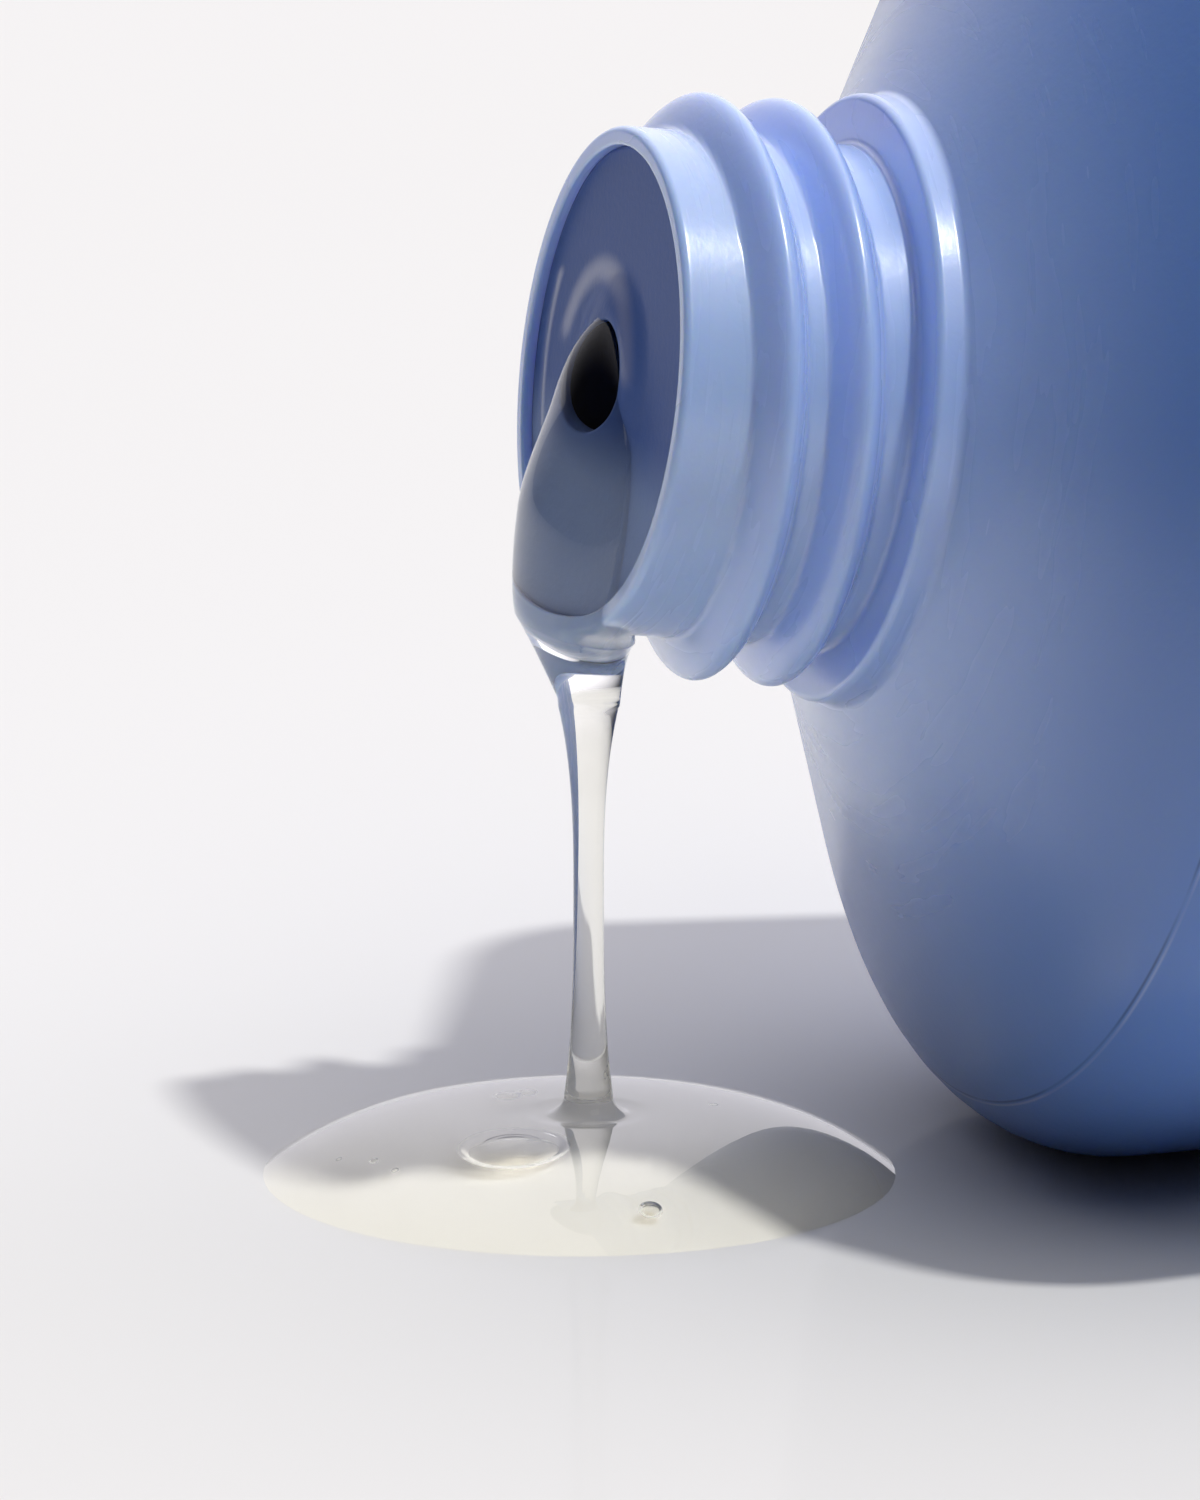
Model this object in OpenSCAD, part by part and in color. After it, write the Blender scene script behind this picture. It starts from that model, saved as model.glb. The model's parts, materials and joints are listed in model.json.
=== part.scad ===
// Cleansing gel bottle lying on its side, with gel running out of its orifice.
// The neck points towards -X and upwards, and the tapered wall lies on z = 0.
// The gel falls in a stream at the front of the neck and spreads in a puddle.

/* [Body] */
// Length of the bottle from its base to the face of the neck
bottle_h = 100; // [85:1:120]
// Diameter of the body at its widest, just under the shoulder
body_d = 60.4; // [52:0.1:70]
// Angle by which the wall tapers towards the base, which is also how far the lying bottle tips up
taper_angle = 8.6; // [6:0.1:10]
// Angle between the shoulder and the bottle's axis
shoulder_angle = 64; // [52:1:70]
// Radius that blends the shoulder into the wall
shoulder_blend = 6.3; // [5:0.1:11]
// Radius of the corner between the wall and the base
base_corner = 6; // [3:0.5:8]
// Width of the flat ring that the bottle stands on
foot_ring_w = 2.6; // [1.6:0.1:3.6]
// Depth of the push-up at its centre
push_up_depth = 1.5; // [0.8:0.1:3]
// Wall of the blown body
body_wall = 1.0; // [0.8:0.1:1.6]

/* [Neck] */
// Diameter of the plain land between the face and the thread
land_d = 20.7; // [20:0.1:21.4]
// Width of the lip between the land and the bore that takes the orifice reducer
lip_w = 0.8; // [0.7:0.05:1.2]
// Distance from the face to the foot of the neck bead
bead_front = 10.1; // [9.8:0.1:12]
// Width of the bead's outer edge
bead_w = 1.25; // [0.7:0.05:1.6]
// Diameter of the bead that the closure's skirt stops at
bead_d = 25; // [24.6:0.1:27]
// Radius of the rounded lip
lip_round = 0.3; // [0.15:0.05:0.35]

/* [Thread] */
// Outside diameter of the thread
thread_d = 24; // [23:0.1:24.5]
// Pitch of the thread
thread_pitch = 3.3; // [3:0.1:3.5]
// Turns of the thread, with its run-in and run-out
thread_turns = 2; // [1:0.25:2.25]
// Width of the thread at its foot
thread_w = 2.4; // [2:0.1:3.2]
// Distance from the bead to the middle of the thread's first turn
thread_gap = 0.85; // [0.8:0.05:1.2]

/* [Orifice reducer] */
// Diameter of the hole that the gel comes out of
hole_d = 4.8; // [3:0.1:6]
// Depth of the reducer's face below the lip
recess = 0.45; // [0.3:0.05:1]
// Radius of the low dome around the hole
dome_r = 4.8; // [4:0.1:6]
// Height of the dome above the reducer's face
dome_h = 0.45; // [0.2:0.05:0.8]
// Thickness of the reducer's disc
disc_t = 1.0; // [0.8:0.1:1.6]
// Length of the skirt that grips the bore
skirt_l = 7; // [5:0.5:9]
// Wall of the skirt
skirt_t = 0.8; // [0.6:0.1:1.2]

/* [Gel] */
// Width of the tongue of gel that hangs over the lip
tongue_w = 10.2; // [8:0.2:12]
// Height of the tongue above the reducer's face
tongue_h = 2.7; // [1.5:0.1:3.2]
// Distance from the face back to the middle of the stream, along the floor
stream_back = 1.07; // [0.6:0.01:2]
// Length of the lump between the lip and the stream
lump_h = 3.1; // [2.5:0.1:4]
// Diameter of the stream where it leaves the lump
stream_top_d = 2.6; // [2:0.1:3]
// Diameter of the stream at its thinnest
stream_d = 1.26; // [1:0.02:2]
// Diameter of the stream just above the puddle
stream_foot_d = 2.0; // [1.6:0.1:3]
// Diameter of the puddle
puddle_d = 26; // [20:0.5:34]
// Height of the puddle at its middle
puddle_h = 2.6; // [2:0.1:3.5]
// Distance from the stream to the middle of the puddle
puddle_shift = 0.4; // [0:0.1:2]

/* [Hidden] */

body_blue = [0.36, 0.46, 0.70];
reducer_blue = [0.34, 0.42, 0.64];
gel_clear = [0.80, 0.82, 0.76, 0.6];

// Segments of a whole turn
round_fn = 96;
// Steps in a fillet of an outline
fillet_steps = 8;

land_r = land_d / 2;
bore_r = land_r - lip_w;
bead_r = bead_d / 2;
thread_r = thread_d / 2;
hole_r = hole_d / 2;
stream_r = stream_d / 2;
puddle_r = puddle_d / 2;
neck_h = bead_front + bead_w;

// Outlines are lists of [radius, distance from the face].
// The point where a line from p along u meets a line from q along v
function meet(p, u, q, v) =
    let (d = u.x * v.y - u.y * v.x, k = ((q.x - p.x) * v.y - (q.y - p.y) * v.x) / d)
    p + k * u;

function unit(v) = v / norm(v);

// The arc of radius r that rounds the corner at b between a and c
function fillet(a, b, c, r, steps = fillet_steps) =
    let (
        u = unit(a - b), v = unit(c - b),
        half = acos(u * v) / 2,
        middle = b + unit(u + v) * r / sin(half),
        first = b + u * r / tan(half) - middle,
        last = b + v * r / tan(half) - middle,
        from = atan2(first.y, first.x),
        turn = atan2(first.x * last.y - first.y * last.x, first * last)
    )
    [for (i = [0 : steps]) let (a = from + turn * i / steps) middle + r * [cos(a), sin(a)]];

// An outline with every corner rounded that is given a radius
function rounded(corners) =
    [for (i = [0 : len(corners) - 1])
        let (c = corners[i], p = [c.x, c.y])
        each (c.z == 0 ? [p] : let (b = corners[i - 1], n = corners[i + 1])
            fillet([b.x, b.y], p, [n.x, n.y], c.z))];

shoulder_way = [sin(shoulder_angle), cos(shoulder_angle)];
shoulder_side = [cos(shoulder_angle), -sin(shoulder_angle)];
wall_way = [-sin(taper_angle), cos(taper_angle)];
wall_side = [cos(taper_angle), sin(taper_angle)];

// Middle of the blend: tangent to the shoulder, and body_d is the widest that it reaches
blend_r = body_d / 2 - shoulder_blend;
blend_s = neck_h + ((blend_r - bead_r) * shoulder_side.x + shoulder_blend) / -shoulder_side.y;
wall_point = [blend_r, blend_s] + shoulder_blend * wall_side;

// Corners of the body, moved inwards by a wall's thickness
function shoulder_start(inset) = [bead_r, neck_h] - inset * shoulder_side;
function wall_start(inset) = wall_point - inset * wall_side;
function shoulder_apex(inset) =
    meet(shoulder_start(inset), shoulder_way, wall_start(inset), wall_way);
function base_apex(inset) =
    meet(wall_start(inset), wall_way, [0, bottle_h - inset], [1, 0]);
function corner(p, r) = [p.x, p.y, r];

// Ring inside which the base is pushed up, and its blend
push_up_r = base_apex(0).x - base_corner / tan((90 + taper_angle) / 2) - foot_ring_w;
push_up_blend = 3;
// The body from the shoulder round to the middle of the base
function body_outline(inset) = [
    corner(shoulder_apex(inset), shoulder_blend - inset),
    corner(base_apex(inset), base_corner - inset),
    [push_up_r, bottle_h - inset, push_up_blend],
    [0, bottle_h - inset - push_up_depth, 0]
];

// Rounding of the bead's foot, of its edges, and where the shoulder leaves it
bead_foot_round = 0.3;
bead_round = 0.35;
shoulder_foot_round = 0.4;

lip_outline = [
    [bore_r, recess, 0],
    [bore_r, 0, lip_round],
    [land_r, 0, lip_round]
];
neck_outline = concat(lip_outline, [
    [land_r, bead_front, bead_foot_round],
    [bead_r, bead_front, bead_round],
    [bead_r, neck_h, shoulder_foot_round]
]);

// Where the bore opens into the shoulder
bore_foot = meet([bore_r, 0], [0, 1], shoulder_start(body_wall), shoulder_way);

function reversed(list) = [for (i = [len(list) - 1 : -1 : 0]) list[i]];

// Rounding of the corner between the bore and the shoulder's inner face
bore_foot_round = 1;
neck_and_inside = rounded(concat(
    [[bore_r, 0, 0], corner(bore_foot, bore_foot_round)], body_outline(body_wall)));
inside = [for (p = neck_and_inside) if (p.y > 0) p];
outside = rounded(concat(neck_outline, body_outline(0)));

// Turns an outline about the bottle's axis, with the face at z = 0 and the body below it
module turned(outline) {
    rotate_extrude($fn = round_fn)
        polygon([for (p = outline) [p.x, -p.y]]);
}

// Places along the floor are counted from below the middle of the face, then moved by face_x.
// Height of the middle of the face: the lowest line of the wall lies on the floor
face_z = wall_point * [cos(taper_angle), sin(taper_angle)];
stream_x = stream_back - land_r * sin(taper_angle);
puddle_x = stream_x - puddle_shift;
base_middle = base_apex(base_corner);
reach_back = base_middle * [sin(taper_angle), cos(taper_angle)] + base_corner;
// The part's own middle is at x = 0
face_x = (puddle_r - puddle_x - reach_back) / 2;

// Lays down what is drawn upright with its face at z = 0
module lying() {
    translate([face_x, 0, face_z])
        rotate([0, taper_angle - 90, 0])
            children();
}

// One right-hand rib that winds round the land, fading in and out over a quarter turn at each end
thread_steps = 22;
thread_foot = 0.25;
function thread_depth(k) =
    let (edge = min(k, 1 - k) * thread_turns * 4, full = thread_r - land_r)
    full * (edge >= 1 ? 1 : sin(90 * edge) ^ 0.8);
function thread_ring(k) =
    let (
        depth = thread_depth(k),
        turn = 90 + 360 * thread_turns * k,
        middle = thread_gap - bead_front + thread_pitch * thread_turns * k
    )
    [for (side = [-4 : 4])
        let (across = side / 4, lift = cos(90 * across))
        let (r = land_r - thread_foot + (depth + thread_foot) * lift)
        [r * cos(turn), r * sin(turn), middle + across * thread_w / 2]];

// Joins rings of as many points each into a closed solid.
// The points run counterclockwise as seen from in front of the first ring.
module skinned(rings) {
    n = len(rings[0]);
    last = len(rings) - 1;
    faces = concat(
        [[for (i = [n - 1 : -1 : 0]) i]],
        [for (j = [0 : last - 1]) for (i = [0 : n - 1])
            let (a = j * n + i, b = j * n + (i + 1) % n)
            each [[a, b + n, a + n], [a, b, b + n]]],
        [[for (i = [0 : n - 1]) last * n + i]]
    );
    polyhedron([for (ring = rings) each ring], faces, convexity = 8);
}

module bottle() {
    steps = thread_steps * thread_turns;
    color(body_blue)
        lying()
            union() {
                turned(concat(outside, reversed(inside)));
                skinned([for (j = [0 : steps]) thread_ring(j / steps)]);
            }
}

// Face of the reducer, from the hole's edge out to the bore
dome_steps = 8;
dome = [for (i = [0 : dome_steps])
    let (k = i / dome_steps)
    [hole_r + (dome_r - hole_r) * k, recess - dome_h * (1 + cos(180 * k)) / 2]];

module orifice_reducer() {
    color(reducer_blue)
        lying()
            turned(concat(dome, [
                [bore_r, recess],
                [bore_r, recess + skirt_l],
                [bore_r - skirt_t, recess + skirt_l],
                [bore_r - skirt_t, recess + disc_t],
                [hole_r, recess + disc_t]
            ]));
}

// Gel inside the bottle, up to the mouth of the hole
module gel_contents() {
    color(gel_clear)
        lying()
            turned(concat([
                [0, recess - dome_h],
                [hole_r, recess - dome_h],
                [hole_r, recess + disc_t],
                [bore_r - skirt_t, recess + disc_t],
                [bore_r - skirt_t, recess + skirt_l]
            ], inside));
}

// The tongue starts just above the hole and runs down to the lowest point of the lip.
// Heights up the face and distances out of it are in the bottle's own directions.
// How far the tongue's tip lies above the hole
tongue_rise = 0.35;
tongue_top = hole_r + tongue_rise;
// How deep the tongue's back lies below the reducer's face, and how far it wraps back under the lip
tongue_sink = 1;
lip_back = 2.3;
// How fast the tongue widens and swells below its tip, and how blunt the tip is
widening = 5;
swelling = 7;
bluntness = 0.6;
// Share of its height that it has at the hole, and the stretch over which it gains the rest
first_swell = 0.7;
second_swell = [0.3, 0.68];
// Shares of its width and height that it has lost at the lip, and how late it loses them
waisting = 0.18;
waist_lateness = 4;
thinning = 0.17;
curl_lateness = 8;

function between(a, b, k) = a + (b - a) * k;
// From 0 to 1 with a soft start and a soft end
function ease(k) = let (c = max(0, min(1, k))) c * c * (3 - 2 * c);
function swell(k) =
    (1 - (1 - k) ^ swelling)
    * between(first_swell, 1, ease((k - second_swell[0]) / (second_swell[1] - second_swell[0])));
function tongue_ring(k) = gel_ring(
    tongue_top - (tongue_top + land_r) * k,
    tongue_w / 2 * (1 - (1 - k) ^ widening) ^ bluntness * (1 - waisting * k ^ waist_lateness),
    -recess,
    tongue_h * swell(k) * (1 - thinning * k ^ curl_lateness),
    between(tongue_sink, lip_back, k ^ curl_lateness)
);

// The lump under the lip narrows from the tongue's last ring to the stream
stream_top_r = stream_top_d / 2;
stream_top_z = (-land_r - lump_h - stream_x * sin(taper_angle)) / cos(taper_angle);
lump_foot_w = -stream_x * cos(taper_angle) + stream_top_z * sin(taper_angle);
lump_narrowing = 2.5;
function lump_ring(k) = gel_ring(
    -land_r - lump_h * k,
    between(stream_top_r, tongue_w / 2 * (1 - waisting), (1 - k) ^ lump_narrowing),
    between(-recess, lump_foot_w, k),
    between(tongue_h * (1 - thinning), stream_top_r, k),
    between(lip_back, stream_top_r, k)
);

// One ring of gel across the face: rounder in front of its middle than behind it
ring_points = 20;
function gel_ring(height, half_width, middle, front, back) =
    [for (i = [0 : ring_points - 1])
        let (a = 360 * i / ring_points, lift = sin(a) * (sin(a) > 0 ? front : back))
        [height, half_width * cos(a), middle + lift]];

// The rings crowd together towards the tip, which the first of them closes
tongue_steps = 14;
lump_steps = 7;
first_ring = 0.012;
crowding = 1.6;
module gel_over_lip() {
    skinned(concat(
        [for (j = [0 : tongue_steps])
            tongue_ring(between(first_ring, 1, (j / tongue_steps) ^ crowding))],
        [for (j = [1 : lump_steps]) lump_ring(j / lump_steps)]
    ));
}

// The falling stream, thinnest half way down, with a cove where it runs into the puddle
cove = 0.9;
cove_sink = 0.1;
foot_z = puddle_h - cove_sink + cove;
stream_top = face_z + stream_top_z;
waist_z = (stream_top + foot_z) / 2;
function stream_width(z, end_r, end_z) =
    stream_r + (end_r - stream_r) * abs((z - waist_z) / (end_z - waist_z)) ^ 3;
stream_steps = 10;
lap = 0.2;
module gel_stream() {
    upper = [for (i = [0 : stream_steps])
        let (z = between(stream_top, waist_z, i / stream_steps))
        [stream_width(z, stream_top_r, stream_top), z]];
    lower = [for (i = [1 : stream_steps])
        let (z = between(waist_z, foot_z, i / stream_steps))
        [stream_width(z, stream_foot_d / 2, foot_z), z]];
    cove_arc = [for (i = [1 : fillet_steps])
        let (a = 90 * i / fillet_steps)
        [stream_foot_d / 2 + cove * (1 - cos(a)), foot_z - cove * sin(a)]];
    rotate_extrude($fn = round_fn / 2)
        polygon(concat(
            [[0, stream_top + lap], [stream_top_r, stream_top + lap]],
            upper, lower, cove_arc,
            [[stream_foot_d / 2 + cove, puddle_h / 2], [0, puddle_h / 2]]
        ));
}

// A puddle that is flat on top and steep at its rim
puddle_power = 3.5;
puddle_steps = 20;
module gel_puddle() {
    rotate_extrude($fn = round_fn)
        polygon(concat([[0, 0]], [for (i = [0 : puddle_steps])
            let (r = sin(90 * i / puddle_steps))
            [puddle_r * r, puddle_h * (1 - r ^ puddle_power)]]));
}

// What the gel lies against: the reducer's face, the hole full of gel, the lip and the land
module neck_front() {
    turned(concat([[0, recess - dome_h]], dome, rounded(concat(lip_outline, [
        [land_r, neck_h, 0],
        [0, neck_h, 0]
    ]))));
}

module gel_pour() {
    color(gel_clear)
        difference() {
            union() {
                lying() gel_over_lip();
                translate([face_x + stream_x, 0, 0]) gel_stream();
                translate([face_x + puddle_x, 0, 0]) gel_puddle();
            }
            lying() neck_front();
        }
}

bottle();
orifice_reducer();
gel_contents();
gel_pour();
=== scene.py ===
"""A cleansing gel bottle on its side, with clear gel running over its lip into a puddle."""
import json
import math

import bmesh
import bpy
from mathutils import Matrix, Vector


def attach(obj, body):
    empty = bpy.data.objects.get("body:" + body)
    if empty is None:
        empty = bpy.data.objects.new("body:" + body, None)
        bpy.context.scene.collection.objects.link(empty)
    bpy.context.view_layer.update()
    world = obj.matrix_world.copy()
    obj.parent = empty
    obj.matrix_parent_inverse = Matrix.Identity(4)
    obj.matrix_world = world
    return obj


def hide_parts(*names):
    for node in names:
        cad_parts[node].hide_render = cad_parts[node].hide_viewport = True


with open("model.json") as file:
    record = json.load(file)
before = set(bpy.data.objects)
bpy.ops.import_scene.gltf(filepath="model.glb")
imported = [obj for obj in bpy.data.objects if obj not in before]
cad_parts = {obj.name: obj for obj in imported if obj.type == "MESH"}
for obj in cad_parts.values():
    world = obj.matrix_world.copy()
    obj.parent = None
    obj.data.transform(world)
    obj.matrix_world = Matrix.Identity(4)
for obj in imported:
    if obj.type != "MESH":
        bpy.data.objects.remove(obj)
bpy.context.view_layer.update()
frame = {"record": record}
MM = 0.001

# Sizes of the bottle, in millimetres
BOTTLE_H = 100.0
BODY_D = 60.4
SHOULDER_ANGLE = math.radians(64)
SHOULDER_BLEND = 6.3
BASE_CORNER = 6.0
PUSH_UP_R = 11.0
PUSH_UP_DEPTH = 1.5
PUSH_UP_BLEND = 3.0
BODY_WALL = 1.0
LAND_R = 10.35
BORE_R = 9.55
BEAD_R = 12.5
BEAD_FRONT = 10.1
BEAD_W = 1.25
LIP_ROUND = 0.3
LIP_BORE_ROUND = 0.12
BEAD_ROOT_ROUND = 0.3
BEAD_FRONT_ROUND = 0.35
BEAD_BACK_ROUND = 0.4
BORE_FOOT_ROUND = 1.0
THREAD_R = 12.0
THREAD_PITCH = 3.3
THREAD_TURNS = 2.0
THREAD_W = 2.4
THREAD_GAP = 0.85
# The thread starts a quarter turn round from the bottle's own X, and rises over a quarter turn
THREAD_START = 0.25
THREAD_RUN_IN = 0.25
THREAD_RUN_IN_POWER = 0.8

# Sizes of the orifice reducer
HOLE_R = 2.4
RECESS = 0.45
DOME_R = 4.8
DOME_H = 0.45
DISC_T = 1.0
SKIRT_L = 7.0
SKIRT_T = 0.8
PLUG_GAP = 0.02

# Sizes of the gel
TONGUE_W = 10.2
TONGUE_H = 2.7
TONGUE_ABOVE_HOLE = 0.35
TONGUE_SINK = 1.7
LIP_BACK = 2.3
LUMP_H = 3.1
STREAM_TOP_R = 1.3
STREAM_R = 0.63
STREAM_FOOT_R = 1.0
PUDDLE_R = 13.0
PUDDLE_H = 2.6
PUDDLE_POWER = 3.5
COVE = 0.9
COVE_SINK = 0.1
GEL_GAP = 0.01
# The tongue's tip starts at the far side of the hole, so the near side of the hole stays open
TONGUE_ASIDE = 1.2
# The puddle's underside lies a hair below the floor, so that the floor shows through it
PUDDLE_SINK = 0.02
# How far behind the face the gel in the hole turns dark
DARK_DEPTH = 0.9

# Fineness of the meshes: turns are the steps round a spun piece, the rest are lengths or counts
BOTTLE_TURN_STEPS = 288
PLUG_TURN_STEPS = 192
CONTENTS_TURN_STEPS = 96
THREADED_STEP = 0.11
PLAIN_STEP = 2.5
INSIDE_STEP = 3.0
PLUG_STEP = 0.15
DOME_STEPS = 24
RING_POINTS = 72
TONGUE_STEPS = 48
LUMP_STEPS = 24
STREAM_UPPER_STEPS = 40
STREAM_LOWER_STEPS = 30
COVE_STEPS = 13
PUDDLE_STEPS = 40
BUBBLE_SEGMENTS = 40
BUBBLE_RINGS = 24
# Points closer than this are one: in a spun piece, whose ends meet exactly, and in the gel
SPUN_MERGE = 1e-5
GEL_MERGE = 2e-3

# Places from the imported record. The bottle's axis points out of its neck, and the neck's mount
# lies behind the face. The stream falls a little way from the puddle's middle.
mounts = {m["name"]: m for m in frame["record"]["mounts"]}
neck_way = Vector(mounts["neck_finish"]["axis"])
TAPER = math.asin(neck_way.z)
NECK_MOUNT_BACK = 4.1
face = Vector(mounts["neck_finish"]["pos_m"]) / MM + neck_way * NECK_MOUNT_BACK
puddle_x = mounts["rest"]["pos_m"][0] / MM
PUDDLE_SHIFT = 0.4
stream_x = puddle_x + PUDDLE_SHIFT
LYING = Matrix.Translation(face) @ Matrix.Rotation(TAPER - math.pi / 2, 4, "Y")


# Outlines are lists of (radius, distance from the face)

def meet(p, u, q, v):
    """The point where the line from p along u meets the line from q along v."""
    k = ((q.x - p.x) * v.y - (q.y - p.y) * v.x) / (u.x * v.y - u.y * v.x)
    return p + u * k


def fillet(a, b, c, radius, steps=10):
    """The arc that rounds the corner at b between a and c."""
    u = (a - b).normalized()
    v = (c - b).normalized()
    half = u.angle(v) / 2
    middle = b + (u + v).normalized() * radius / math.sin(half)
    first = b + u * radius / math.tan(half) - middle
    last = b + v * radius / math.tan(half) - middle
    turn = math.atan2(first.x * last.y - first.y * last.x, first.dot(last))
    start = math.atan2(first.y, first.x)
    angles = [start + turn * i / steps for i in range(steps + 1)]
    return [middle + Vector((math.cos(t), math.sin(t))) * radius for t in angles]


def rounded(corners):
    """An outline from (point, radius) pairs, with an arc at each corner that has a radius."""
    points = []
    for i, (p, radius) in enumerate(corners):
        if radius:
            points += fillet(corners[i - 1][0], p, corners[i + 1][0], radius)
        else:
            points.append(p)
    return points


def spaced(points, step):
    """The same outline with no stretch longer than step."""
    out = [points[0]]
    for a, b in zip(points, points[1:]):
        parts = max(1, math.ceil((b - a).length / step))
        out += [a.lerp(b, i / parts) for i in range(1, parts + 1)]
    return out


shoulder_way = Vector((math.sin(SHOULDER_ANGLE), math.cos(SHOULDER_ANGLE)))
shoulder_side = Vector((math.cos(SHOULDER_ANGLE), -math.sin(SHOULDER_ANGLE)))
wall_way = Vector((-math.sin(TAPER), math.cos(TAPER)))
wall_side = Vector((math.cos(TAPER), math.sin(TAPER)))
neck_h = BEAD_FRONT + BEAD_W
blend_r = BODY_D / 2 - SHOULDER_BLEND
blend_s = neck_h + ((blend_r - BEAD_R) * shoulder_side.x + SHOULDER_BLEND) / -shoulder_side.y
wall_point = Vector((blend_r, blend_s)) + wall_side * SHOULDER_BLEND


def body_corners(inset):
    """Corners of the body from the shoulder round to the middle of the base."""
    shoulder = Vector((BEAD_R, neck_h)) - shoulder_side * inset
    wall = wall_point - wall_side * inset
    floor_s = BOTTLE_H - inset
    return [
        (meet(shoulder, shoulder_way, wall, wall_way), SHOULDER_BLEND - inset),
        (meet(wall, wall_way, Vector((0, floor_s)), Vector((1, 0))), BASE_CORNER - inset),
        (Vector((PUSH_UP_R, floor_s)), PUSH_UP_BLEND),
        (Vector((0, floor_s - PUSH_UP_DEPTH)), 0),
    ]


def spun(outline, steps):
    """A closed solid of revolution about the bottle's axis, with its face at z = 0."""
    bm = bmesh.new()
    verts = [bm.verts.new((p.x, 0, -p.y)) for p in outline]
    edges = [bm.edges.new(pair) for pair in zip(verts, verts[1:])]
    bmesh.ops.spin(bm, geom=verts + edges, cent=(0, 0, 0), axis=(0, 0, 1),
                   angle=2 * math.pi, steps=steps, use_merge=True)
    bmesh.ops.remove_doubles(bm, verts=bm.verts, dist=SPUN_MERGE)
    bmesh.ops.recalc_face_normals(bm, faces=bm.faces)
    return bm


def piece_from(bm, name, place=Matrix.Identity(4)):
    """A smooth object made of a mesh in millimetres, with its place in the frame in the mesh."""
    bmesh.ops.transform(bm, matrix=Matrix.Scale(MM, 4) @ place, verts=bm.verts)
    for f in bm.faces:
        f.smooth = True
    mesh = bpy.data.meshes.new(name)
    bm.to_mesh(mesh)
    bm.free()
    piece = bpy.data.objects.new(name, mesh)
    bpy.context.scene.collection.objects.link(piece)
    return piece


def rib_height(turn, s):
    """How far the thread stands out of the land at an angle, in turns, and a distance from the face."""
    tallest = 0
    for n in range(math.ceil(THREAD_TURNS) + 1):
        k = (turn - THREAD_START + n) / THREAD_TURNS
        if 0 < k < 1:
            middle = BEAD_FRONT - THREAD_GAP - THREAD_PITCH * THREAD_TURNS * k
            across = (s - middle) / (THREAD_W / 2)
            if abs(across) < 1:
                edge = min(1, min(k, 1 - k) * THREAD_TURNS / THREAD_RUN_IN)
                fade = math.sin(math.pi / 2 * edge) ** THREAD_RUN_IN_POWER
                crest = math.cos(math.pi / 2 * across)
                tallest = max(tallest, (THREAD_R - LAND_R) * fade * crest)
    return tallest


def inside_outline(start_s):
    """The inside of the bottle, from a place in its bore to the middle of its base."""
    bore_foot = meet(Vector((BORE_R, 0)), Vector((0, 1)),
                     Vector((BEAD_R, neck_h)) - shoulder_side * BODY_WALL, shoulder_way)
    bore = [(Vector((BORE_R, start_s)), 0), (bore_foot, BORE_FOOT_ROUND)]
    return rounded(bore + body_corners(BODY_WALL))


def make_bottle():
    """The blown bottle: outside, lip and inside in one closed skin, with its thread."""
    lip = [
        (Vector((BORE_R, RECESS)), 0),
        (Vector((BORE_R, 0)), LIP_BORE_ROUND),
        (Vector((LAND_R, 0)), LIP_ROUND),
        (Vector((LAND_R, BEAD_FRONT)), BEAD_ROOT_ROUND),
        (Vector((BEAD_R, BEAD_FRONT)), BEAD_FRONT_ROUND),
        (Vector((BEAD_R, neck_h)), BEAD_BACK_ROUND),
    ]
    outside = rounded(lip + body_corners(0))
    threaded_end = BEAD_FRONT - BEAD_ROOT_ROUND * 2 / 3
    land = [p for p in outside if p.y < threaded_end]
    rest = [p for p in outside if p.y >= threaded_end]
    outline = spaced(land + rest[:1], THREADED_STEP) + spaced(rest, PLAIN_STEP)[1:]
    inside = spaced(inside_outline(SKIRT_L), INSIDE_STEP)
    bm = spun(list(reversed(outline)) + inside, BOTTLE_TURN_STEPS)
    neck_wall_middle = (BORE_R + LAND_R) / 2
    for v in bm.verts:
        s = -v.co.z
        r = math.hypot(v.co.x, v.co.y)
        if r > neck_wall_middle and LIP_ROUND < s < BEAD_FRONT:
            turn = math.atan2(v.co.y, v.co.x) / (2 * math.pi)
            k = (r + rib_height(turn, s)) / r
            v.co.x *= k
            v.co.y *= k
    return piece_from(bm, "bottle_shell", LYING)


def make_reducer():
    """The plug pressed into the neck, with a low dome round its hole."""
    dome = []
    for i in range(DOME_STEPS + 1):
        k = i / DOME_STEPS
        dome.append(Vector((HOLE_R + (DOME_R - HOLE_R) * k,
                            RECESS - DOME_H * (1 + math.cos(math.pi * k)) / 2)))
    outer_r = BORE_R - PLUG_GAP
    inner_r = BORE_R - SKIRT_T
    rest = [
        Vector((outer_r, RECESS)),
        Vector((outer_r, RECESS + SKIRT_L)),
        Vector((inner_r, RECESS + SKIRT_L)),
        Vector((inner_r, RECESS + DISC_T)),
        Vector((HOLE_R, RECESS + DISC_T)),
        dome[0],
    ]
    return piece_from(spun(spaced(dome + rest, PLUG_STEP), PLUG_TURN_STEPS), "reducer_plug", LYING)


def ring(height, half_width, middle, front, back, aside=0.0):
    """One ring of gel across the face, in the bottle's own directions."""
    out = []
    for i in range(RING_POINTS):
        a = 2 * math.pi * i / RING_POINTS
        lift = math.sin(a) * (front if math.sin(a) > 0 else back)
        out.append(LYING @ Vector((height, aside + half_width * math.cos(a), middle + lift)))
    return out


def level_ring(x, radius, z):
    """One level ring of gel, round the stream or in the puddle."""
    out = []
    for i in range(RING_POINTS):
        a = 2 * math.pi * i / RING_POINTS
        out.append(Vector((x - radius * math.sin(a), radius * math.cos(a), z)))
    return out


def mix(a, b, k):
    """The number a share k of the way from a to b."""
    return a + (b - a) * k


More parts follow.
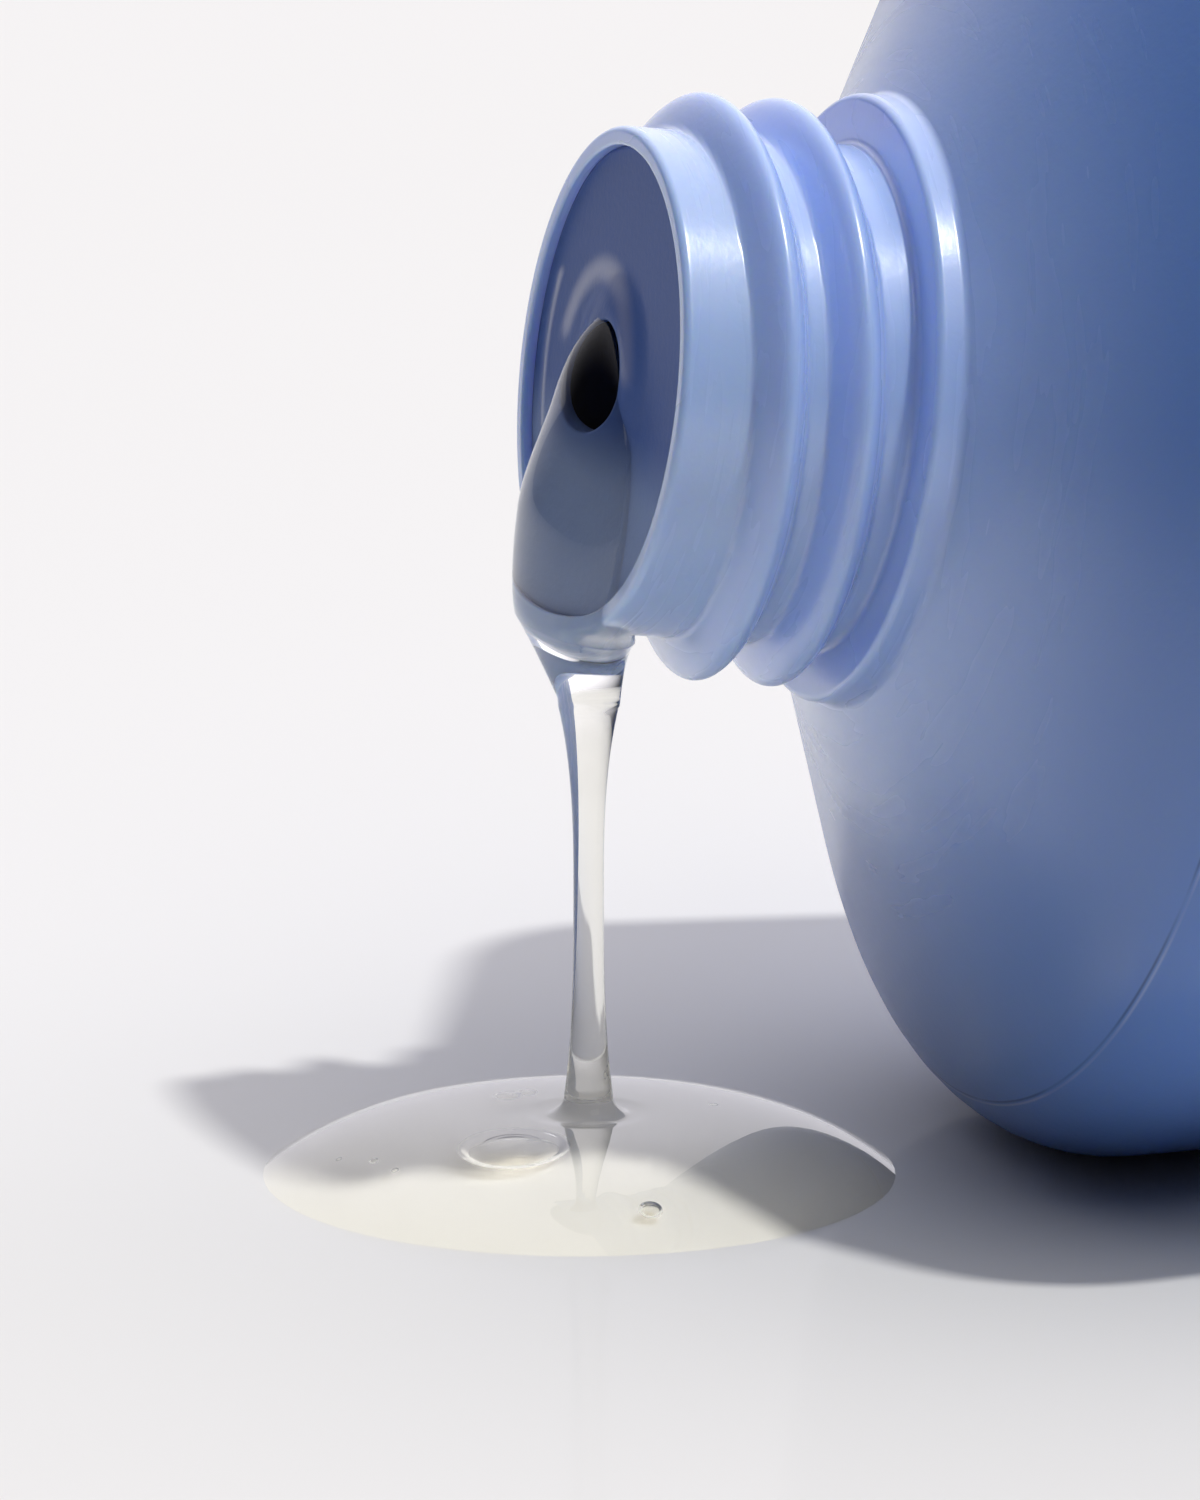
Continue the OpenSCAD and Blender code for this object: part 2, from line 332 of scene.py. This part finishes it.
def ease(k):
    """From 0 to 1 with a soft start and a soft end."""
    k = max(0.0, min(1.0, k))
    return k * k * (3 - 2 * k)


# The tongue's form: how steeply its tip rises, the share of the height that it reaches there,
# and the shares of its length between which it swells to the whole height
TIP_POWER = 7
TIP_SHARE = 0.7
SWELL_FROM = 0.3
SWELL_TO = 0.68
# How fast it widens and how blunt its tip is
WIDENING_POWER = 3.2
BLUNTNESS = 0.85
# How much narrower and thinner it is at its foot, and how late that and its curl under the lip come
FOOT_NARROWER = 0.18
NARROWING_POWER = 4
FOOT_THINNER = 0.17
CURL_POWER = 8
# How soon it comes back to the middle from its tip at the far side
ASIDE_POWER = 3
# Its first ring, and how much closer the rings lie near the tip
TONGUE_START = 0.012
TONGUE_CROWDING = 1.6
TONGUE_TOP = HOLE_R + TONGUE_ABOVE_HOLE


def swell(k):
    """Share of the tongue's height: a step up at its tip, and the rest lower down."""
    risen = 1 - (1 - k) ** TIP_POWER
    return risen * mix(TIP_SHARE, 1, ease((k - SWELL_FROM) / (SWELL_TO - SWELL_FROM)))


def tongue_ring(k):
    """The tongue's ring a share k of the way from its tip to the lower edge of the lip."""
    width = (1 - (1 - k) ** WIDENING_POWER) ** BLUNTNESS * (1 - FOOT_NARROWER * k ** NARROWING_POWER)
    return ring(
        TONGUE_TOP - (TONGUE_TOP + LAND_R) * k,
        TONGUE_W / 2 * width,
        -RECESS,
        TONGUE_H * swell(k) * (1 - FOOT_THINNER * k ** CURL_POWER),
        mix(TONGUE_SINK, LIP_BACK, k ** CURL_POWER),
        TONGUE_ASIDE * (1 - k) ** ASIDE_POWER,
    )


# The lump gathers to the stream, which is thinnest halfway down
LUMP_POWER = 2.5
STREAM_POWER = 3
stream_local_x = stream_x - face.x
stream_top_z = (-LAND_R - LUMP_H - stream_local_x * math.sin(TAPER)) / math.cos(TAPER)
lump_foot_w = -stream_local_x * math.cos(TAPER) + stream_top_z * math.sin(TAPER)


def lump_ring(k):
    """The lump's ring a share k of the way from the lip to the top of the stream."""
    return ring(
        -LAND_R - LUMP_H * k,
        mix(STREAM_TOP_R, TONGUE_W / 2 * (1 - FOOT_NARROWER), (1 - k) ** LUMP_POWER),
        mix(-RECESS, lump_foot_w, k),
        mix(TONGUE_H * (1 - FOOT_THINNER), STREAM_TOP_R, k),
        mix(LIP_BACK, STREAM_TOP_R, k),
    )


# Rings under the puddle, from just inside its rim to a pinhole that its last face closes
UNDERSIDE_RADII = (PUDDLE_R - 0.1, PUDDLE_R * 0.6, PUDDLE_R * 0.2, 0.001)


def stream_rings():
    """Level rings from the lump down the stream, out over the puddle and in under it."""
    top = face.z + stream_top_z
    foot = PUDDLE_H - COVE_SINK + COVE
    waist = (top + foot) / 2
    rings = []
    for i in range(1, STREAM_UPPER_STEPS + 1):
        k = i / STREAM_UPPER_STEPS
        r = mix(STREAM_R, STREAM_TOP_R, (1 - k) ** STREAM_POWER)
        rings.append(level_ring(stream_x, r, mix(top, waist, k)))
    for i in range(1, STREAM_LOWER_STEPS + 1):
        k = i / STREAM_LOWER_STEPS
        r = mix(STREAM_R, STREAM_FOOT_R, k ** STREAM_POWER)
        rings.append(level_ring(stream_x, r, mix(waist, foot, k)))
    for i in range(1, COVE_STEPS):
        a = math.pi / 2 * i / COVE_STEPS
        r = STREAM_FOOT_R + COVE * (1 - math.cos(a))
        rings.append(level_ring(stream_x, r, foot - COVE * math.sin(a)))
    inner = STREAM_FOOT_R + COVE
    for i in range(1, PUDDLE_STEPS + 1):
        r = mix(inner, PUDDLE_R, math.sin(math.pi / 2 * i / PUDDLE_STEPS))
        x = mix(stream_x, puddle_x, (r - inner) / (PUDDLE_R - inner))
        z = PUDDLE_H * (1 - (r / PUDDLE_R) ** PUDDLE_POWER)
        rings.append(level_ring(x, r, max(z, 0.0)))
    for r in UNDERSIDE_RADII:
        rings.append(level_ring(puddle_x, r, -PUDDLE_SINK))
    return rings


def lofted(rings):
    """A closed skin through rings of as many points each, made by extruding the first."""
    bm = bmesh.new()
    loop = [bm.verts.new(p) for p in rings[0]]
    edges = [bm.edges.new((loop[i - 1], loop[i])) for i in range(len(loop))]
    bmesh.ops.contextual_create(bm, geom=edges)
    for points in rings[1:]:
        made = bmesh.ops.extrude_edge_only(bm, edges=edges)["geom"]
        new = {v for v in made if isinstance(v, bmesh.types.BMVert)}
        edges = [e for e in made if isinstance(e, bmesh.types.BMEdge) and set(e.verts) <= new]
        step = {}
        joins = [e for v in new for e in v.link_edges if not set(e.verts) <= new]
        for e in joins:
            old, fresh = (e.verts[0], e.verts[1]) if e.verts[1] in new else (e.verts[1], e.verts[0])
            step[old] = fresh
        loop = [step[v] for v in loop]
        for v, p in zip(loop, points):
            v.co = p
    bmesh.ops.contextual_create(bm, geom=edges)
    bmesh.ops.remove_doubles(bm, verts=bm.verts, dist=GEL_MERGE)
    bmesh.ops.recalc_face_normals(bm, faces=bm.faces)
    return bm


# Air in the puddle: its middle along X and Y from the stream and up, half width, half height
BUBBLES = [
    (-4.0, -2.6, 1.26, 2.3, 1.2),
    (-2.0, 4.6, 1.5, 0.62, 0.55),
    (-1.0, 5.1, 1.2, 0.45, 0.4),
    (-0.6, -10.0, 0.75, 0.5, 0.45),
    (-9.4, -0.9, 1.1, 0.2, 0.2),
    (-8.8, -2.1, 0.7, 0.16, 0.16),
    (-10.2, 1.0, 0.6, 0.14, 0.14),
    (5.6, 0.8, 1.6, 0.2, 0.2),
]


def add_bubbles(bm):
    """Adds the bubbles to the gel's mesh, turned inside out so that they hold air."""
    for x, y, z, wide, high in BUBBLES:
        place = (Matrix.Translation((stream_x + x, y, z))
                 @ Matrix.Diagonal((wide, wide, high, 1)))
        made = bmesh.ops.create_uvsphere(bm, u_segments=BUBBLE_SEGMENTS, v_segments=BUBBLE_RINGS,
                                         radius=1, matrix=place)
        faces = {f for v in made["verts"] for f in v.link_faces}
        bmesh.ops.reverse_faces(bm, faces=list(faces))


def make_gel_flow():
    """The gel outside the bottle: tongue, lump, stream and puddle in one skin, with air in it."""
    ways = [(i / TONGUE_STEPS) ** TONGUE_CROWDING for i in range(TONGUE_STEPS + 1)]
    tongue = [tongue_ring(mix(TONGUE_START, 1, k)) for k in ways]
    lump = [lump_ring(i / LUMP_STEPS) for i in range(1, LUMP_STEPS + 1)]
    bm = lofted(tongue + lump + stream_rings())
    add_bubbles(bm)
    return piece_from(bm, "gel_flow")


def make_gel_inside():
    """The gel in the dark of the bottle, up to a little way inside the hole."""
    mouth = [
        Vector((0, DARK_DEPTH)),
        Vector((HOLE_R - GEL_GAP, DARK_DEPTH)),
        Vector((HOLE_R - GEL_GAP, RECESS + DISC_T)),
        Vector((BORE_R - SKIRT_T, RECESS + DISC_T)),
        Vector((BORE_R - SKIRT_T, RECESS + SKIRT_L)),
    ]
    outline = mouth + inside_outline(RECESS + SKIRT_L)
    return piece_from(spun(outline, CONTENTS_TURN_STEPS), "gel_inside", LYING)


# Shader maths. A Mix node has sockets of one name for each type, so those for colours go by number.
MIX_FACTOR = 0
MIX_FIRST = 6
MIX_SECOND = 7
MIX_RESULT = 2


class Value:
    """A socket of a node tree, on which + - and * add Math nodes."""

    def __init__(self, shader, socket):
        self.shader = shader
        self.socket = socket

    def _math(self, operation, a, b):
        return self.shader.node("ShaderNodeMath", {"operation": operation}, [a, b])

    def __add__(self, other):
        return self._math("ADD", self, other)

    __radd__ = __add__

    def __sub__(self, other):
        return self._math("SUBTRACT", self, other)

    def __rsub__(self, other):
        return self._math("SUBTRACT", other, self)

    def __mul__(self, other):
        return self._math("MULTIPLY", self, other)

    __rmul__ = __mul__


class Shader:
    """A material's or a world's node tree, with one method that adds any node."""

    def __init__(self, owner):
        owner.use_nodes = True
        self.tree = owner.node_tree
        self.tree.nodes.clear()

    def node(self, kind, settings=None, inputs=None, output=0):
        """Adds a node with its settings and the values or links of its sockets."""
        made = self.tree.nodes.new(kind)
        for name, setting in (settings or {}).items():
            setattr(made, name, setting)
        pairs = inputs.items() if isinstance(inputs, dict) else enumerate(inputs or [])
        for key, value in pairs:
            if isinstance(value, Value):
                self.tree.links.new(value.socket, made.inputs[key])
            elif value is not None:
                made.inputs[key].default_value = value
        self.made = made
        return Value(self, made.outputs[output]) if len(made.outputs) else None

    def blend(self, factor, a, b):
        """A colour between a and b."""
        inputs = {MIX_FACTOR: factor, MIX_FIRST: a, MIX_SECOND: b}
        return self.node("ShaderNodeMix", {"data_type": "RGBA"}, inputs, MIX_RESULT)


# Colours of the plastics
# The neck's colour is painted paler than the body's, standing in for the sunlight on the neck; the
# body's colour is the plastic's own
NECK_PAINTED_LIT_COLOUR = (0.44, 0.59, 0.99, 1)
BODY_COLOUR = (0.125, 0.255, 0.64, 1)
BODY_LIGHT = (0.19, 0.325, 0.72, 1)
WITNESS_DARK = (0.03, 0.06, 0.17, 1)
SCUFF_COLOUR = (0.5, 0.58, 0.78, 1)
REDUCER_COLOUR = (0.07, 0.13, 0.38, 1)
REDUCER_LIGHT = (0.10, 0.17, 0.42, 1)
# Painted light: the reducer's colour where the gel tongue covers it, paler to stand in for light
# reflected in the gel
REDUCER_PAINTED_GEL_LIGHT = (0.25, 0.34, 0.58, 1)
# Painted reflection: the colour of the arch over the hole and of the strip along the far lip
PAINTED_REFLECTION_COLOUR = (0.28, 0.32, 0.52, 1)

# Marks on the bottle. s is the distance from the face, u the distance to the far side and v the
# height above the axis, all in millimetres. A fade is a pair: where it starts and where it is whole.
# Where the neck's painted light, and its glossier coat and streaks, fade out into the body
NECK_FADE_S = (18.0, 9.0)
BODY_LIGHT_SHARE = 0.3
WITNESS_S = 19.4
WITNESS_HALF_W = 0.07
WITNESS_SHARE = 0.65
WITNESS_EDGE_S = 19.52
WITNESS_EDGE_SHARE = 0.4
WITNESS_BREAKS = (0.35, 0.6)
SCUFF_S = 26.5
SCUFF_V = -16.5
SCUFF_REACH = 2.5
SCUFF_FADE_U = (0.0, -6.0)
SCUFF_SHARE = 0.5
SCRATCH_EDGES = (0.6, 0.66)
STREAK_ALONG = 1.7
STREAK_ROUND = 0.12
STREAK_ROUGHNESS = 0.16

# Marks on the reducer: painted light, paler where the gel tongue covers it, standing in for light
# reflected in the gel, and a painted reflection that is an arch over the hole and a strip along the far
# lip, with a glossy coat on them
PAINTED_GEL_LIGHT_FADE_V = (-1.0, -4.5)
ARCH_U = 1.7
ARCH_V = -0.6
ARCH_R = 4.75
ARCH_HALF_W = 0.85
ARCH_FADE_V = (0.0, 1.0)
STRIP_R = 8.4
STRIP_HALF_W = 0.55
STRIP_FADE_U = (5.0, 6.5)
STRIP_FADE_V = (3.2, 2.6)
PAINTED_REFLECTION_SHARE = 0.5

# How many waves the noises have in a metre
BODY_CLOUDS = 60
BODY_GRAIN = 2200
WITNESS_CLOUDS = 140
SCRATCHES = 900
REDUCER_CLOUDS = 90
REDUCER_GRAIN = 3000
DARK_GEL_CLOUDS = 300
FLOOR_CLOUDS = 12

# How deep the grain of the plastics is, and how far light spreads in them, in metres
GRAIN_DEPTH = 0.0001
SPREAD = 0.001

# Clear gel, and the dark gel inside
GEL_COLOUR = (0.93, 0.925, 0.875, 1)
GEL_SHADOW = (0.86, 0.84, 0.79, 1)
GEL_IOR = 1.42
DARK_GEL = (0.0010, 0.0020, 0.009, 1)
DARK_GEL_LIGHT = (0.0018, 0.0035, 0.014, 1)


def material(name):
    """A new material and its node tree."""
    mat = bpy.data.materials.new(name)
    return mat, Shader(mat)


def close(shader, surface):
    """Gives a material its surface."""
    shader.node("ShaderNodeOutputMaterial", None, {"Surface": surface})


def bottle_places(sh):
    """Object coordinates, and s, u and v of the bottle."""
    coords = sh.node("ShaderNodeTexCoord", None, None, "Object")
    x = sh.node("ShaderNodeSeparateXYZ", None, [coords])
    y = Value(sh, sh.made.outputs["Y"])
    z = Value(sh, sh.made.outputs["Z"])
    cos_t = math.cos(TAPER)
    sin_t = math.sin(TAPER)
    s = x * (cos_t / MM) - z * (sin_t / MM) - (face.x * cos_t - face.z * sin_t)
    u = y * (1 / MM)
    v = x * (sin_t / MM) + z * (cos_t / MM) - (face.x * sin_t + face.z * cos_t)
    return coords, s, u, v


def within(sh, value, low, high):
    """From 0 at low to 1 at high, softly."""
    return sh.node("ShaderNodeMapRange", {"interpolation_type": "SMOOTHSTEP"},
                   [value, low, high, 0.0, 1.0])


def band(sh, value, middle, half):
    """1 at the middle of a band, 0 beyond its edges."""
    off = sh.node("ShaderNodeMath", {"operation": "ABSOLUTE"}, [value - middle])
    return within(sh, off, half, 0.0)


def distance(sh, a, b):
    """How far a place lies from where a and b are both 0."""
    return sh.node("ShaderNodeMath", {"operation": "SQRT"}, [a * a + b * b])


def noise_at(sh, coords, scale, detail=2.0, roughness=0.5):
    """Soft noise between 0 and 1."""
    return sh.node("ShaderNodeTexNoise", None,
                   {"Vector": coords, "Scale": scale, "Detail": detail, "Roughness": roughness})


def bottle_plastic_material():
    """Blown plastic: painted paler on the neck, standing in for the sunlight there, and glossier there,
    with a witness line and scuffs.
    """
    mat, sh = material("periwinkle_plastic")
    coords, s, u, v = bottle_places(sh)
    clouds = noise_at(sh, coords, BODY_CLOUDS, 3)
    grain = noise_at(sh, coords, BODY_GRAIN, 2, 0.6)
    round_neck = sh.node("ShaderNodeCombineXYZ", None,
                         [s * STREAK_ALONG, v * STREAK_ROUND, u * STREAK_ROUND])
    streaks = noise_at(sh, round_neck, 1.0, 2)
    # Painted light: the sunlit neck is painted paler than the shaded body; the same share also gives
    # the neck its gloss and streaks
    neck_painted_light_and_gloss = within(sh, s, *NECK_FADE_S)
    colour = sh.blend(neck_painted_light_and_gloss, BODY_COLOUR, NECK_PAINTED_LIT_COLOUR)
    colour = sh.blend(clouds * BODY_LIGHT_SHARE, colour, BODY_LIGHT)
    uneven = within(sh, noise_at(sh, coords, WITNESS_CLOUDS), *WITNESS_BREAKS)
    line = band(sh, s, WITNESS_S, WITNESS_HALF_W) * uneven
    edge = band(sh, s, WITNESS_EDGE_S, WITNESS_HALF_W) * uneven
    colour = sh.blend(line * WITNESS_SHARE, colour, WITNESS_DARK)
    colour = sh.blend(edge * WITNESS_EDGE_SHARE, colour, SCUFF_COLOUR)
    scuffed = band(sh, s, SCUFF_S, SCUFF_REACH) * band(sh, v, SCUFF_V, SCUFF_REACH)
    scuffed = scuffed * within(sh, u, *SCUFF_FADE_U)
    scratch = within(sh, noise_at(sh, coords, SCRATCHES, 3, 0.7), *SCRATCH_EDGES)
    colour = sh.blend(scuffed * scratch * SCUFF_SHARE, colour, SCUFF_COLOUR)
    bump = sh.node("ShaderNodeBump", None, {"Strength": 0.12, "Distance": GRAIN_DEPTH, "Height": grain})
    close(sh, sh.node("ShaderNodeBsdfPrincipled", None, {
        "Base Color": colour,
        "Roughness": 0.27 + (streaks - 0.5) * neck_painted_light_and_gloss * STREAK_ROUGHNESS,
        "IOR": 1.5,
        "Coat Weight": 0.2 + neck_painted_light_and_gloss * 0.7,
        "Coat Roughness": 0.27,
        "Subsurface Weight": 0.5,
        "Subsurface Radius": (0.4, 0.7, 1.9),
        "Subsurface Scale": SPREAD,
        "Normal": bump,
    }))
    return mat


def reducer_plastic_material():
    """Darker plastic, painted paler under the tongue of gel for the light reflected in it, with a
    painted reflection in an arch and a strip that also get a glossy coat.
    """
    mat, sh = material("reducer_plastic")
    coords, _, u, v = bottle_places(sh)
    clouds = noise_at(sh, coords, REDUCER_CLOUDS, 3)
    grain = noise_at(sh, coords, REDUCER_GRAIN, 3, 0.6)
    colour = sh.blend(clouds * 0.5, REDUCER_COLOUR, REDUCER_LIGHT)
    # Painted light: paler under the gel tongue, for light reflected in the gel
    colour = sh.blend(within(sh, v, *PAINTED_GEL_LIGHT_FADE_V), colour, REDUCER_PAINTED_GEL_LIGHT)
    bump = sh.node("ShaderNodeBump", None, {"Strength": 0.15, "Distance": GRAIN_DEPTH, "Height": grain})
    # Painted reflection: a lighter arch round the dome and a strip along the far lip; the coat below
    # makes the same places glossy
    arch = band(sh, distance(sh, u - ARCH_U, v - ARCH_V), ARCH_R, ARCH_HALF_W)
    arch = arch * within(sh, v, *ARCH_FADE_V)
    strip = band(sh, distance(sh, u, v), STRIP_R, STRIP_HALF_W)
    strip = strip * within(sh, u, *STRIP_FADE_U) * within(sh, v, *STRIP_FADE_V)
    colour = sh.blend((arch + strip) * PAINTED_REFLECTION_SHARE, colour, PAINTED_REFLECTION_COLOUR)
    close(sh, sh.node("ShaderNodeBsdfPrincipled", None, {
        "Base Color": colour,
        "Roughness": 0.25 + clouds * 0.1,
        "IOR": 1.13,
        "Coat Weight": arch * 0.8 + strip,
        "Coat Roughness": 0.05,
        "Coat IOR": 1.38,
        "Subsurface Weight": 0.15,
        "Subsurface Radius": (0.5, 0.8, 1.8),
        "Subsurface Scale": SPREAD,
        "Normal": bump,
    }))
    return mat


def gel_material():
    """Clear gel with a faint warm tint that lets the lamps' light through to what it lies on."""
    mat, sh = material("clear_gel")
    gel = sh.node("ShaderNodeBsdfPrincipled", None, {
        "Base Color": GEL_COLOUR,
        "Roughness": 0.0,
        "IOR": GEL_IOR,
        "Transmission Weight": 1.0,
    })
    clear = sh.node("ShaderNodeBsdfTransparent", None, {"Color": GEL_SHADOW})
    shadow = sh.node("ShaderNodeLightPath", None, None, "Is Shadow Ray")
    close(sh, sh.node("ShaderNodeMixShader", None, [shadow, gel, clear]))
    return mat


def dark_gel_material():
    """Gel that no light reaches, as it looks through the hole."""
    mat, sh = material("gel_in_the_dark")
    coords = sh.node("ShaderNodeTexCoord", None, None, "Object")
    shade = sh.blend(noise_at(sh, coords, DARK_GEL_CLOUDS), DARK_GEL, DARK_GEL_LIGHT)
    close(sh, sh.node("ShaderNodeBsdfPrincipled", None, {
        "Base Color": shade,
        "Roughness": 0.9,
        "IOR": 1.0,
        "Specular IOR Level": 0.0,
    }))
    return mat


def dress(piece, mat, body, slot, *nodes):
    """Gives a piece its material and ties it to what it stands for."""
    piece.data.materials.clear()
    piece.data.materials.append(mat)
    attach(piece, body)
    if nodes:
        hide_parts(*nodes)


# Camera: its direction, its focal length in pixels, how many millimetres it is from the face and
# at which pixel it sees it
IMAGE_W = 1200
IMAGE_H = 1500
AZIMUTH = math.radians(-17.8)
ELEVATION = math.radians(14.0)
FOCAL_PX = 25321
FACE_DEPTH = 1032.5
FACE_PIXEL = (599.7, 378.1)
SENSOR = 36
NEAREST = 0.05
FARTHEST = 20


def make_camera():
    """The photograph's camera, placed so that the face is seen at its pixel."""
    ahead = Vector((-math.sin(AZIMUTH) * math.cos(ELEVATION),
                    math.cos(AZIMUTH) * math.cos(ELEVATION), -math.sin(ELEVATION)))
    right = ahead.cross(Vector((0, 0, 1))).normalized()
    up = right.cross(ahead)
    px_mm = FACE_DEPTH / FOCAL_PX
    place = (face - right * (FACE_PIXEL[0] - IMAGE_W / 2) * px_mm
             - up * (IMAGE_H / 2 - FACE_PIXEL[1]) * px_mm - ahead * FACE_DEPTH)
    data = bpy.data.cameras.new("camera")
    data.sensor_width = SENSOR
    data.sensor_fit = "AUTO"
    data.lens = FOCAL_PX * SENSOR / IMAGE_H
    data.clip_start = NEAREST
    data.clip_end = FARTHEST
    camera = bpy.data.objects.new("camera", data)
    camera.matrix_world = Matrix.Translation(place * MM) @ Matrix(
        (right, up, -ahead)).transposed().to_4x4()
    bpy.context.scene.collection.objects.link(camera)
    bpy.context.scene.camera = camera


# Light: a hard lamp from high on the right, a soft one from above in front, and a surround that is
# dark on the left and bright above behind on the right.
# Each lamp: name, the way to it, strength and how wide it is
LAMPS = [
    ("key", Vector((0.34, -0.27, 1.0)), 1.68, math.radians(3.0)),
    ("soft_front", Vector((0.25, -0.7, 1.0)), 0.38, math.radians(35.0)),
]
SKY_WAY = (0.5, 0.6, 0.6)
SKY_LOW = 0.03
SKY_RISE = 1.5
SKY_EDGE = 0.2
SKY_COLOUR = (0.94, 0.92, 1, 1)


def make_light():
    """The lamps and the surround."""
    for name, way, strength, width in LAMPS:
        data = bpy.data.lights.new(name, "SUN")
        data.energy = strength
        data.angle = width
        lamp = bpy.data.objects.new(name, data)
        lamp.rotation_euler = way.to_track_quat("Z", "Y").to_euler()
        bpy.context.scene.collection.objects.link(lamp)
    world = bpy.data.worlds.new("surround")
    bpy.context.scene.world = world
    sh = Shader(world)
    seen = sh.node("ShaderNodeTexCoord", None, None, "Generated")
    facing = sh.node("ShaderNodeVectorMath", {"operation": "DOT_PRODUCT"},
                     [seen, Vector(SKY_WAY).normalized()], "Value")
    sky = SKY_LOW + within(sh, facing, SKY_EDGE, 1.0) * SKY_RISE
    lit = sh.node("ShaderNodeBackground", None, {"Color": SKY_COLOUR, "Strength": sky})
    sh.node("ShaderNodeOutputWorld", None, {"Surface": lit})


# Floor: half its width in millimetres, and its two shades
FLOOR_REACH = 3000
FLOOR_DARK = (0.775, 0.765, 0.735, 1)
FLOOR_LIGHT = (0.79, 0.78, 0.75, 1)


def make_floor():
    """A smooth white floor that reaches past every edge of the picture."""
    bm = bmesh.new()
    bmesh.ops.create_grid(bm, x_segments=1, y_segments=1, size=FLOOR_REACH)
    floor = piece_from(bm, "floor")
    mat, sh = material("white_acrylic")
    coords = sh.node("ShaderNodeTexCoord", None, None, "Object")
    shade = sh.blend(noise_at(sh, coords, FLOOR_CLOUDS), FLOOR_DARK, FLOOR_LIGHT)
    close(sh, sh.node("ShaderNodeBsdfPrincipled", None,
                      {"Base Color": shade, "Roughness": 0.07, "IOR": 1.03}))
    floor.data.materials.append(mat)


dress(make_bottle(), bottle_plastic_material(), "root", "bottle_plastic", "bottle")
dress(make_reducer(), reducer_plastic_material(), "root", "reducer_plastic", "orifice_reducer")
dress(make_gel_inside(), dark_gel_material(), "root", "gel", "gel_contents")
dress(make_gel_flow(), gel_material(), "root", "gel", "gel_pour")
make_floor()
make_light()
make_camera()

scene = bpy.context.scene
scene.view_settings.view_transform = "Standard"
